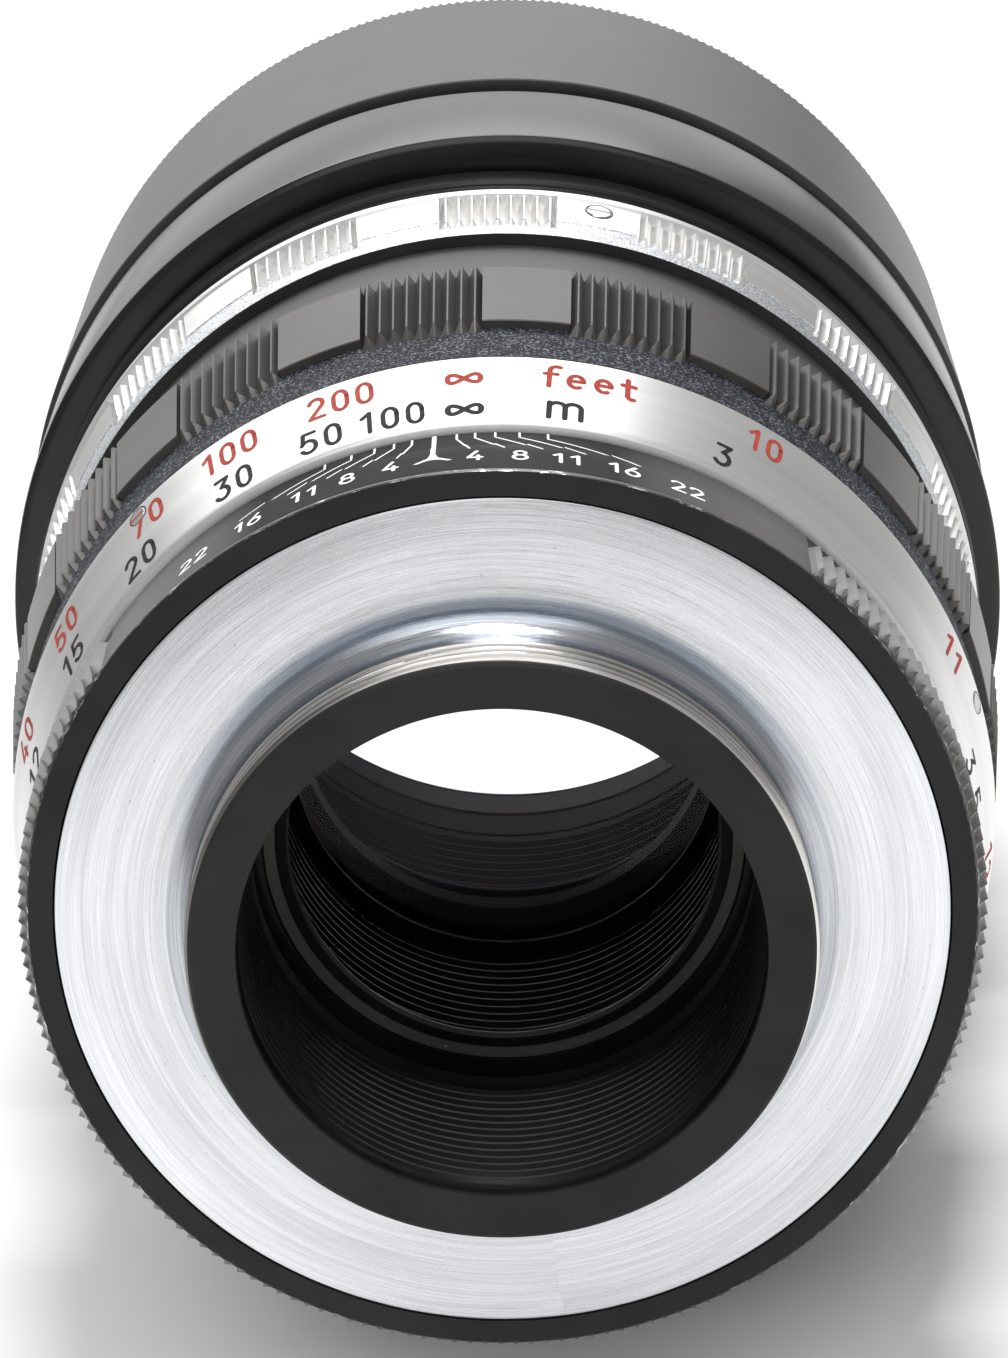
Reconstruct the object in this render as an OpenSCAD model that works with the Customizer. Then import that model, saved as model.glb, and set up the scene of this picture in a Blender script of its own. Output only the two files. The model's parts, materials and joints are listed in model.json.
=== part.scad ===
// Telephoto prime camera lens with a screw mount, a focusing ring and a preset iris.
// The optical axis lies along Y, with the front of the lens at +Y and the index mark at +Z.
// The origin is the centre of the flange face that seats on the camera.

/* [Mount and scales] */
// radius of the camera's screw thread
thread_r = 21; // [19:0.1:24]
// length of the threaded stub behind the flange face
stub_len = 5.6; // [4:0.1:8]
// radius of the polished flange face
flange_r = 30.1; // [28:0.1:32]
// radius of the smooth band that carries the depth numerals
depth_band_r = 32; // [31:0.1:34]
// number of knurl teeth in a full turn of the depth ring
knurl_teeth = 190; // [60:1:240]
// radius of the distance ring at its rear edge
scale_rear_r = 32.4; // [31:0.1:34]
// radius of the distance ring at its front edge
scale_front_r = 34.7; // [33:0.1:37]
// length of the distance ring
scale_len = 7.6; // [5:0.1:12]

/* [Focus grip] */
// radius of the grip's pads at their rear edge
grip_rear_r = 35.3; // [34:0.1:38]
// radius of the grip's pads at their front edge
grip_front_r = 36.4; // [34:0.1:39]
// number of ribbed pads around each ring
pad_count = 15; // [8:1:24]
// number of ribs on one ribbed pad
ribs_per_pad = 9; // [4:1:14]
// share of the pitch that a ribbed pad covers
ribbed_share = 0.58; // [0.3:0.01:0.8]
// turn of the focus ring from its far stop to its near stop, in degrees
focus_turn = 327; // [90:1:330]

/* [Barrel] */
// radius of the sliding barrel between the two grips
barrel_r = 33.6; // [31:0.1:35]
// radius of the front barrel
front_r = 39.35; // [36:0.05:42]
// radius of the tube ahead of the groove
front_tube_r = 39.8; // [36:0.05:42]
// overall length from the end of the stub to the front rim
total_len = 113.7; // [90:0.1:140]
// wall radius of the front filter thread
filter_r = 38.1; // [30:0.1:39]

/* [Iris] */
// radius of the fully open iris
iris_open_r = 18.7; // [12:0.1:22]
// width of one iris blade
blade_w = 7; // [3:0.1:9]
// turn of the aperture ring from fully open to fully closed, in degrees
aperture_turn = 24; // [10:1:28]
// swing of each blade over the same turn, in degrees
blade_swing = 31; // [10:1:40]

/* [Hidden] */

$fn = 128;
small = 32;             // $fn of pins and screws
run = 0.08;             // radial clearance of a running fit
slip = 0.15;            // radial clearance of a dust fit that carries no load
eps = 0.5;              // overlap of a cut past a face

// Stations along the axis, counted from the end of the threaded stub.
flange_z = stub_len;
thread_mid = (0.9 + flange_z - 1.9) / 2;    // between the stub's bevel and its fillet
flange_back = flange_z + 3;
collar_front = flange_z + 8.6;
scale_z = collar_front + 0.4;
scale_front = scale_z + scale_len;
sleeve_flange_z = scale_front - 2;
grip_z = scale_front + 0.15;
grip_pad_z = grip_z + 6.6;
grip_front = grip_pad_z + 10.1;
sleeve_front = grip_front + 0.3;
base_front = sleeve_front + 2.3;
shoulder_z = 51.3;
aperture_z = shoulder_z + 0.3;
aperture_front = aperture_z + 7.4;
spacer_z = aperture_front + 0.2;
preset_z = spacer_z + 0.7;
preset_front = preset_z + 4.2;
front_barrel_z = preset_front + 1.6;
groove_z = front_barrel_z + 15;
front_tube_z = groove_z + 2;
spigot_front = front_tube_z + 5.3;
seat_front = 108.45;    // the filter thread ends here and the plain bore begins

// Radii of the sleeves, from the optics outwards.
optic_in = 27.4;
optic_out = 29.4;
base_in = optic_out + run;
base_out = 30.6;
sleeve_in = base_out + run;
sleeve_out = 31.7;
barrel_in = sleeve_out + slip;
nose_r = 33;
collar_r = flange_r + 0.05;
bore_r = 17.5;
cell_bore_r = filter_r - 0.7;
baffle_wall_r = 19.1;
pad_pitch = 360 / pad_count;
tip_flat = 0.1;         // how much the rib tips are turned off
grip_pad_clock = -1.3;      // middle of the ribbed pad nearest the index mark
aperture_pad_clock = 7.2;   // the same on the aperture ring
rest_turn = 3.6;            // the focus ring rests this far from its far stop

// Iris stack.
blade_count = 12;
blade_t = 0.14;
blade_pitch = 0.22;
pivot_r = 28.6;
pivot_pin_r = 0.75;
drive_arm = 2.6;
drive_pin_r = 0.5;
housing_z = shoulder_z - 1.1;
housing_floor = housing_z + 1.4;
blade_z = housing_floor + 0.3;
actuator_z = blade_z + blade_count * blade_pitch + 0.3;
actuator_t = 1.6;
actuator_in = 26.4;
actuator_out = 30.7;
cover_z = actuator_z + actuator_t + 0.3;
housing_out = 31.5;
housing_in = actuator_out + 0.15;
link_z = actuator_z + actuator_t / 2;
link_r = 0.5;
link_clock = 100;

// ---------- helpers ----------

// Lays the axis along Y, with the origin at the middle of the camera thread.
module laid() {
    rotate([-90, 0, 0])
        translate([0, 0, -thread_mid])
            children();
}

// Turns a child that points along +X to a clock angle, counted from the index mark.
module at_clock(a) {
    rotate([0, 0, a - 90])
        children();
}

// Turns an outline of [radius, station] points about the axis.
module turned(points) {
    rotate_extrude()
        polygon(points);
}

module ring(r_in, r_out, z0, z1) {
    turned([[r_in, z0], [r_out, z0], [r_out, z1], [r_in, z1]]);
}

// A pie slice between two clock angles, used to cut slots that run round a wall.
module slice(r, a0, a1, z0, z1) {
    steps = 8;
    translate([0, 0, z0])
        linear_extrude(z1 - z0)
            polygon(concat([[0, 0]],
                [for (i = [0:steps])
                    let (a = a0 + (a1 - a0) * i / steps)
                        [r * sin(a), -r * cos(a)]]));
}

// Points of a bore wall with V grooves, from z0 to z1.
function ribs(r, depth, pitch, z0, z1) =
    let (n = floor((z1 - z0) / pitch))
        [for (i = [0:n - 1], half = [0, 1])
            [half == 0 ? r : r + depth, z0 + (i + half / 2) * pitch]];

// Radius of a padded ring at a clock angle: plain pads, and pads with V ribs.
function pad_radius(a, depth, start) =
    let (
        turn = (a - start) / pad_pitch,
        place = turn - floor(turn),
        rib = place / ribbed_share * ribs_per_pad,
        height = abs(2 * (rib - floor(rib)) - 1)
    )
        place < ribbed_share ? height * depth : depth;

// Outline of a padded ring. Each rib gives a tip and a root, and each plain pad an arc.
function pad_outline(r, depth, start) =
    [for (p = [0:pad_count - 1],
          s = concat([for (i = [0:2 * ribs_per_pad]) ribbed_share * i / (2 * ribs_per_pad)],
                     [for (i = [1:4]) ribbed_share + (1 - ribbed_share) * i / 5]))
        let (
            a = start + (p + s) * pad_pitch,
            rr = r - depth + pad_radius(a + 0.001, depth, start)
        )
            [rr * sin(a), -rr * cos(a)]];

// Height of a sphere's surface above its own vertex; positive radii bulge.
function sag(r, x) = r > 0 ? r - sqrt(r * r - x * x) : -(-r - sqrt(r * r - x * x));

// A glass element. Positive radii bulge outwards, negative ones are hollow.
module element(r, z0, z1, r_rear, r_front) {
    steps = 14;
    turned(concat(
        [for (i = [0:steps]) let (x = r * i / steps) [x, z0 + sag(r_rear, x)]],
        [for (i = [steps:-1:0]) let (x = r * i / steps) [x, z1 - sag(r_front, x)]]));
}

// ---------- fixed base ----------

module mount_flange() {
    fillet = 1.9;
    color("gainsboro")
        difference() {
            turned(concat(
                [[19.2, 0.5], [thread_r - 0.4, 0.5], [thread_r, 0.9]],
                [for (i = [0:6])
                    let (a = 15 * i)
                        [thread_r + fillet * (1 - cos(a)),
                         flange_z - fillet * (1 - sin(a)) ]],
                [[flange_r - 0.15, flange_z], [flange_r, flange_z + 0.15],
                 [flange_r, flange_back], [28, flange_back], [28, flange_back + 3.8],
                 [26.5, flange_back + 3.8], [26.5, flange_back], [19.2, flange_back]]));
        }
}

module rear_baffle_tube() {
    front = 18.7;
    color("dimgray")
        turned(concat(
            [[20.5, 0], [20.8, 0.25], [20.8, 0.48], [baffle_wall_r, 0.48],
             [baffle_wall_r, front], [bore_r + 0.1, front], [bore_r, front - 0.3]],
            [for (p = ribs(bore_r, 0.45, 1.05, -15.4, -0.8)) [p[0], -p[1]]],
            [[bore_r, 0.5], [bore_r + 0.2, 0]]));
}

// Outline of the depth ring: smooth around the numerals and knurled elsewhere.
function knurl_outline(smooth_half, depth) =
    let (
        tooth = 360 / knurl_teeth,
        first = ceil(smooth_half / tooth)
    )
        [for (i = [0:knurl_teeth - 1], half = [0, 1])
            let (
                a = (i + half / 2) * tooth,
                knurled = i >= first && i < knurl_teeth - first,
                r = knurled && half == 1 ? depth_band_r + depth : depth_band_r
            )
                [r * sin(a), -r * cos(a)]];

module depth_scale_ring() {
    bevel = 0.7;
    band_front = flange_z + 5.6;
    color("dimgray")
        difference() {
            union() {
                turned([[0, flange_z], [depth_band_r - bevel - 0.1, flange_z],
                        [depth_band_r - 0.1, flange_z + bevel], [0, flange_z + bevel]]);
                translate([0, 0, flange_z + bevel])
                    linear_extrude(band_front - flange_z - bevel)
                        polygon(knurl_outline(47.5, 0.66));
                translate([0, 0, flange_z + 1])
                    cylinder(r = depth_band_r - 0.15, h = collar_front - flange_z - 1);
            }
            translate([0, 0, flange_z - eps])
                cylinder(r = collar_r + 0.05, h = 12);
        }
}

module base_barrel() {
    color("darkgray")
        difference() {
            union() {
                ring(base_in, collar_r, flange_back + 0.05, collar_front);
                ring(base_in, base_out, collar_front, base_front);
            }
            cylinder(r = 28.02, h = flange_back + 3.9);
            ring(28, base_in + 0.01, 0, flange_back + 3.9);
            for (side = [0, 180])
                at_clock(side)
                    translate([base_in - 1, -2, 34])
                        cube([4, 4, 6]);
            at_clock(stop_clock)
                translate([base_in - 1, 0, scale_z + 1.4])
                    rotate([0, 90, 0])
                        cylinder(r = 0.6, h = 4, $fn = small);
        }
}

// Two keys riveted into the base sleeve; each rides in a slot of the optical tube.
module guide_keys() {
    color("silver")
        for (side = [0, 180])
            at_clock(side)
                intersection() {
                    translate([28.6, -2, 34])
                        cube([3, 4, 6]);
                    rotate([0, 0, 90])
                        cylinder(r = base_out - 0.02, h = 60);
                }
}

module focus_retaining_ring() {
    color("dimgray")
        ring(base_out, sleeve_out - 0.2, sleeve_front + 0.15, base_front);
}

stop_clock = 180;
stop_pin_top = 31.25;

module focus_stop_pin() {
    color("silver")
        at_clock(stop_clock)
            translate([base_in + 0.1, 0, scale_z + 1.4])
                rotate([0, 90, 0])
                    cylinder(r = 0.6, h = stop_pin_top - base_in - 0.1, $fn = small);
}

// ---------- focus ring ----------

groove_r = 31.45;
screw_clock = 81.4;

module distance_scale_ring() {
    color("whitesmoke")
        difference() {
            turned([[groove_r, scale_z], [scale_rear_r - 0.1, scale_z],
                    [scale_rear_r, scale_z + 0.1], [scale_front_r, scale_front],
                    [33.25, scale_front], [33.25, sleeve_flange_z], [groove_r + 0.35, sleeve_flange_z],
                    [groove_r + 0.35, scale_z + 3.2], [groove_r, scale_z + 3.2]]);
            for (i = [0:2])
                at_clock(screw_clock + 120 * i)
                    translate([32, 0, scale_front - 1])
                        rotate([0, 90, 0])
                            cylinder(r = 0.8, h = 5, $fn = small);
        }
}

module scale_ring_set_screws() {
    color("silver")
        for (i = [0:2])
            at_clock(screw_clock + 120 * i)
                difference() {
                    translate([33.22, 0, scale_front - 1])
                        rotate([0, 90, 0])
                            cylinder(r = 0.8, h = 0.75, $fn = small);
                    translate([33.7, -2, scale_front - 1.12])
                        cube([2, 4, 0.24]);
                }
}

module focus_grip() {
    rib_depth = 0.75;
    pad_start = grip_pad_clock - pad_pitch * ribbed_share / 2;
    color("dimgray")
        difference() {
            union() {
                intersection() {
                    translate([0, 0, grip_pad_z])
                        linear_extrude(grip_front - grip_pad_z)
                            polygon(pad_outline(grip_front_r + tip_flat, rib_depth + 0.6, pad_start));
                    turned([[0, grip_pad_z], [grip_rear_r, grip_pad_z],
                            [grip_front_r, grip_front], [0, grip_front]]);
                }
                turned([[0, grip_z], [34.2, grip_z], [34.2, grip_z + 0.7], [34.45, grip_z + 0.7],
                        [34.75, grip_pad_z], [34.9, grip_front], [0, grip_front]]);
            }
            translate([0, 0, grip_z + 1.7])
                cylinder(r = barrel_r + slip, h = 40);
            translate([0, 0, grip_z - eps])
                cylinder(r = sleeve_out + 0.03, h = 40);
        }
}

module helicoid_sleeve() {
    color("goldenrod")
        union() {
            ring(sleeve_in, sleeve_out, scale_z + 3.2, sleeve_front);
            ring(sleeve_in, 33.2, sleeve_flange_z, scale_front);
        }
}

// Fills part of the ring's inner groove; its two ends meet the stop pin.
module focus_stop_block() {
    margin = 0.3;
    pin_half = asin(0.6 / base_out) + margin;
    block_half = (360 - focus_turn) / 2 - pin_half;
    mid = stop_clock + pin_half + rest_turn + block_half;
    color("silver")
        intersection() {
            ring(base_out + 0.15, groove_r, scale_z + 0.5, scale_z + 2.3);
            slice(40, mid - block_half, mid + block_half, scale_z, scale_z + 3);
        }
}

// ---------- lens barrel ----------

module barrel_tube() {
    color("dimgray")
        difference() {
            turned([[barrel_in, grip_z + 2.6], [barrel_r, grip_z + 2.6], [barrel_r, grip_front + 2],
                    [barrel_r + 1, grip_front + 2], [barrel_r + 1, shoulder_z],
                    [nose_r, shoulder_z], [nose_r, front_barrel_z + 3], [housing_out, front_barrel_z + 3],
                    [housing_out, housing_z], [optic_out + 0.01, housing_z],
                    [optic_out + 0.01, base_front + 1.2], [barrel_in, base_front + 1.2]]);
            slice(40, link_clock - aperture_turn - 3, link_clock + 3, link_z - 0.8, link_z + 0.8);
            at_clock(click_clock)
                translate([nose_r - 1.45, 0, preset_z + 2])
                    rotate([0, 90, 0])
                        cylinder(r = 0.62, h = 4, $fn = small);
        }
}

module optical_tube() {
    color("dimgray")
        difference() {
            ring(optic_in, optic_out, flange_back + 4.9, housing_z - 0.02);
            for (side = [0, 180])
                at_clock(side)
                    translate([28.5, -2.06, 17.5])
                        cube([3, 4.12, 23]);
        }
}

module inner_baffle_tube() {
    color("dimgray")
        turned(concat(
            [[15.6, 20], [18.6, 20], [18.6, 37.5], [17.2, 37.5]],
            [for (p = ribs(16.6, 0.5, 1.25, -37, -21.6)) [p[0], -p[1]]],
            [[16.6, 21.4], [15.15, 20.9], [15.15, 20.3]]));
}

module rear_cell() {
    color("dimgray")
        turned([[15.9, 46.6], [17.0, 46.6], [17.0, 37.55], [19.4, 37.55], [19.4, 45.4],
                [optic_in - 0.01, 45.4], [optic_in - 0.01, 48.4], [15.9, 48.4]]);
}

module rear_retaining_ring() {
    color("dimgray")
        turned([[15.7, 37.6], [16.98, 37.6], [16.98, 39.2], [15.9, 39.2]]);
}

module rear_element() {
    color([0.75, 0.78, 0.82, 0.35])
        element(16.9, 40, 42.9, -248, 117);
}

module rear_inner_element() {
    color([0.75, 0.78, 0.82, 0.35])
        element(16.9, 43.75, 47, -83, 215);
}

module ring_spacer() {
    color("dimgray")
        ring(nose_r, 35.2, spacer_z, spacer_z + 0.45);
}

module iris_housing() {
    color("dimgray")
        difference() {
            union() {
                ring(iris_open_r, housing_out - 0.02, housing_z + 0.02, housing_floor);
                ring(housing_in, housing_out - 0.02, housing_floor, cover_z);
            }
            slice(40, link_clock - aperture_turn - 3, link_clock + 3, link_z - 0.8, link_z + 0.8);
            for (i = [0:blade_count - 1])
                rotate([0, 0, i * 360 / blade_count])
                    translate([pivot_r, 0, 0])
                        cylinder(r = pivot_pin_r, h = 80, $fn = small);
        }
}

module iris_pivot_pins() {
    color("silver")
        for (i = [0:blade_count - 1])
            rotate([0, 0, i * 360 / blade_count])
                translate([pivot_r, 0, housing_z + 0.1])
                    cylinder(r = pivot_pin_r, h = actuator_z - housing_z - 0.3, $fn = small);
}

module iris_cover() {
    color("dimgray")
        ring(iris_open_r + 0.4, housing_out - 0.02, cover_z, cover_z + 1.1);
}

module centre_tube() {
    rear = cover_z + 1.2;
    color("dimgray")
        turned(concat(
            [[26.2, rear], [housing_out - 0.02, rear], [housing_out - 0.02, front_barrel_z + 2.8],
             [30, front_barrel_z + 2.8], [30, 84], [26.2, 84]],
            [for (p = ribs(26.2, 0.6, 1.6, -83, -rear - 1)) [p[0], -p[1]]]));
}

click_clock = 30;

module preset_click_ball() {
    color("silver")
        at_clock(click_clock)
            translate([nose_r - 0.62, 0, preset_z + 2])
                sphere(r = 0.6, $fn = small);
}

module front_barrel() {
    color("dimgray")
        turned([[nose_r + 0.01, front_barrel_z], [38.2, front_barrel_z],
                [39.15, front_barrel_z + 0.1], [front_r, front_barrel_z + 0.4],
                [front_r, groove_z], [38.7, groove_z], [38.7, spigot_front], [37.3, spigot_front],
                [37.3, front_barrel_z + 3], [nose_r + 0.01, front_barrel_z + 3]]);
}

module front_tube() {
    color("dimgray")
        turned([[38.72, front_tube_z], [front_tube_r - 0.2, front_tube_z],
                [front_tube_r, front_tube_z + 0.2], [front_tube_r, total_len - 0.5],
                [front_tube_r - 0.5, total_len], [filter_r + 0.4, total_len],
                [filter_r, total_len - 0.4], [filter_r, seat_front], [cell_bore_r, seat_front],
                [cell_bore_r, spigot_front], [38.72, spigot_front]]);
}

module front_cell() {
    seat = 27.7;
    color("dimgray")
        turned([[26, 84.05], [29.6, 84.05], [29.6, 99.5], [cell_bore_r - 0.02, 99.5],
                [cell_bore_r - 0.02, 102], [30.4, 102], [30.4, 106.4], [seat, 106.4],
                [seat, 88.2], [26, 88.2]]);
}

module third_element() {
    color([0.75, 0.78, 0.82, 0.35])
        element(27.6, 88.6, 92.2, 604, 206);
}

module second_element() {
    color([0.75, 0.78, 0.82, 0.35])
        element(27.6, 94.5, 97.9, 166, -842);
}

module front_spacer() {
    color("dimgray")
        ring(26.4, 27.68, 90.6, 96.5);
}

module front_element() {
    color([0.75, 0.78, 0.82, 0.35])
        element(27.6, 99.3, 104.7, -1183, 101);
}

module front_retaining_ring() {
    color("dimgray")
        ring(26.9, 27.68, 101.2, 103.4);
}

module name_ring() {
    color("dimgray")
        turned([[28.6, 106.5], [cell_bore_r - 0.02, 106.5], [cell_bore_r - 0.02, 108.2],
                [37, 108.4], [29, 107.6]]);
}

// ---------- aperture and preset rings ----------

aperture_pad_start = aperture_pad_clock - pad_pitch * ribbed_share / 2;
aperture_screw_clock = aperture_pad_start + pad_pitch * (ribbed_share + 1) / 2;

module aperture_ring() {
    rib_depth = 0.7;
    pad_front = aperture_front - 1.3;
    pad_r = 36.7;
    band_r = 36.9;
    color("whitesmoke")
        difference() {
            union() {
                intersection() {
                    translate([0, 0, aperture_z + 2.6])
                        linear_extrude(pad_front - aperture_z - 2.6)
                            polygon(pad_outline(pad_r + tip_flat, rib_depth, aperture_pad_start));
                    turned([[0, aperture_z], [35.9, aperture_z + 2], [pad_r, pad_front], [0, pad_front]]);
                }
                turned([[0, aperture_z], [35.45, aperture_z], [35.7, aperture_z + 1.1],
                        [35.9, aperture_z + 2.6], [36, pad_front], [band_r, pad_front],
                        [band_r, aperture_front - 0.2], [band_r - 0.2, aperture_front],
                        [0, aperture_front]]);
            }
            translate([0, 0, aperture_z - eps])
                cylinder(r = nose_r + run, h = 20);
            for (i = [0:2])
                at_clock(aperture_screw_clock + 120 * i)
                    translate([34.4, 0, aperture_z + 4.8])
                        rotate([0, 90, 0])
                            cylinder(r = 1, h = 4, $fn = small);
            at_clock(link_clock)
                translate([nose_r - 1, 0, link_z])
                    rotate([0, 90, 0])
                        cylinder(r = link_r, h = 3.2, $fn = small);
        }
}

module aperture_ring_screws() {
    color("silver")
        for (i = [0:2])
            at_clock(aperture_screw_clock + 120 * i)
                difference() {
                    translate([34.4, 0, aperture_z + 4.8])
                        rotate([0, 90, 0])
                            cylinder(r = 1, h = 1.9, $fn = small);
                    translate([35.85, -2, aperture_z + 4.65])
                        cube([2, 4, 0.3]);
                }
}

// Place of a blade's drive pin, seen from the actuator, when the ring has turned by share s.
function drive_place(s) =
    let (
        swing = 90 - blade_swing / 2 + blade_swing * s,
        x = pivot_r + drive_arm * cos(swing),
        y = drive_arm * sin(swing),
        turn = aperture_turn * s
    )
        [x * cos(turn) - y * sin(turn), x * sin(turn) + y * cos(turn)];

// The spiral slot that one drive pin follows.
module drive_slot() {
    half = drive_pin_r + run;
    steps = 12;
    path = [for (i = [-1:steps + 1]) drive_place(i / steps)];
    side = [for (i = [0:steps + 2])
        let (
            a = path[max(i - 1, 0)],
            b = path[min(i + 1, steps + 2)],
            d = (b - a) / norm(b - a)
        )
            [-d[1], d[0]]];
    polygon(concat(
        [for (i = [0:steps + 2]) path[i] + side[i] * half],
        [for (i = [steps + 2:-1:0]) path[i] - side[i] * half]));
}

module iris_actuator() {
    color("dimgray")
        difference() {
            ring(actuator_in, actuator_out, actuator_z, actuator_z + actuator_t);
            translate([0, 0, actuator_z - eps])
                linear_extrude(actuator_t + 2 * eps)
                    for (i = [0:blade_count - 1])
                        rotate([0, 0, i * 360 / blade_count])
                            drive_slot();
            at_clock(link_clock)
                translate([actuator_out - 0.7, 0, link_z])
                    rotate([0, 90, 0])
                        cylinder(r = link_r, h = 3, $fn = small);
        }
}

// The pin that joins the aperture ring to the actuator through the barrel's slot.
module iris_drive_pin() {
    color("silver")
        at_clock(link_clock)
            translate([actuator_out - 0.65, 0, link_z])
                rotate([0, 90, 0])
                    cylinder(r = link_r, h = nose_r + 1.8 - actuator_out, $fn = small);
}

module preset_ring() {
    color("dimgray")
        difference() {
            turned([[nose_r + run, preset_z], [36.7, preset_z], [37.2, preset_z + 0.5],
                    [37.2, preset_front - 0.8], [36.4, preset_front], [nose_r + run, preset_front]]);
            for (i = [0:4])
                at_clock(click_clock - 6 * i)
                    translate([nose_r, 0, preset_z + 2])
                        rotate([0, 90, 0])
                            cylinder(r = 0.7, h = 0.5, $fn = small);
        }
}

// ---------- iris blades ----------

// One blade, with its pivot hole and drive pin, at its own level in the stack.
module iris_blade(number) {
    level = number - 1;
    sweep = 140;
    z = blade_z + level * blade_pitch;
    arm = 90 - blade_swing / 2;
    pin = [pivot_r + drive_arm * cos(arm), drive_arm * sin(arm)];
    color("slategray")
        rotate([0, 0, level * 360 / blade_count])
            union() {
                translate([0, 0, z])
                    linear_extrude(blade_t)
                        difference() {
                            union() {
                                difference() {
                                    circle(r = iris_open_r + blade_w);
                                    circle(r = iris_open_r);
                                    rotate(sweep)
                                        translate([-60, 0])
                                            square([120, 60]);
                                    rotate(180 - 6)
                                        translate([-60, 0])
                                            square([120, 60]);
                                }
                                translate([24, -2])
                                    square([pivot_r - 24, 4]);
                                translate([pivot_r, 0])
                                    circle(r = 2, $fn = small);
                                translate(pin)
                                    circle(r = 1.2, $fn = small);
                            }
                            translate([pivot_r, 0])
                                circle(r = pivot_pin_r + 0.05, $fn = small);
                        }
                translate([pin[0], pin[1], z])
                    cylinder(r = drive_pin_r, h = actuator_z + actuator_t - 0.2 - z, $fn = small);
            }
}

// ---------- assembly ----------

laid() {
    mount_flange();
    rear_baffle_tube();
    depth_scale_ring();
    base_barrel();
    guide_keys();
    focus_retaining_ring();
    focus_stop_pin();
    distance_scale_ring();
    scale_ring_set_screws();
    focus_grip();
    helicoid_sleeve();
    focus_stop_block();
    barrel_tube();
    optical_tube();
    inner_baffle_tube();
    rear_cell();
    rear_retaining_ring();
    rear_element();
    rear_inner_element();
    ring_spacer();
    iris_housing();
    iris_pivot_pins();
    iris_cover();
    centre_tube();
    front_barrel();
    front_tube();
    front_cell();
    third_element();
    second_element();
    front_spacer();
    front_element();
    front_retaining_ring();
    name_ring();
    preset_click_ball();
    aperture_ring();
    aperture_ring_screws();
    iris_actuator();
    iris_drive_pin();
    preset_ring();
    iris_blade(1);  // iris_blade_1
    iris_blade(2);  // iris_blade_2
    iris_blade(3);  // iris_blade_3
    iris_blade(4);  // iris_blade_4
    iris_blade(5);  // iris_blade_5
    iris_blade(6);  // iris_blade_6
    iris_blade(7);  // iris_blade_7
    iris_blade(8);  // iris_blade_8
    iris_blade(9);  // iris_blade_9
    iris_blade(10);  // iris_blade_10
    iris_blade(11);  // iris_blade_11
    iris_blade(12);  // iris_blade_12
}
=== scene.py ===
import json
import math

import bmesh
import bpy
import numpy as np
from mathutils import Matrix, Vector


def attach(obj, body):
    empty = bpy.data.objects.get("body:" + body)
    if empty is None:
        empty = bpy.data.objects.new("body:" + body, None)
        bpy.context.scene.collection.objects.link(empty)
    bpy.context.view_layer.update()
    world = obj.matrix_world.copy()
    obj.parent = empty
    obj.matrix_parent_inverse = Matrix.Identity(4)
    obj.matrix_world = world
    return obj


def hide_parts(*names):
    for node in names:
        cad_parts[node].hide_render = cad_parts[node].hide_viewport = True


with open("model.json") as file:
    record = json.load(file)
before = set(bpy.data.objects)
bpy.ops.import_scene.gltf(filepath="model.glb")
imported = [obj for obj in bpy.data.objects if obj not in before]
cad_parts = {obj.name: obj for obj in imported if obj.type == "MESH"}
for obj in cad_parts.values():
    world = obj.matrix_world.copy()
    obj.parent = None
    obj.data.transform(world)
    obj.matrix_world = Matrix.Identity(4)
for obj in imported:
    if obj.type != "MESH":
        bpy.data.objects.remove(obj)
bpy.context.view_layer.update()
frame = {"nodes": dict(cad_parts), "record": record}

MM = 0.001
TAU = 2 * math.pi
ORIGIN = 2.3            # mm from the end of the threaded stub to the row's origin


# ---------------------------------------------------------------- material helpers

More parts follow.
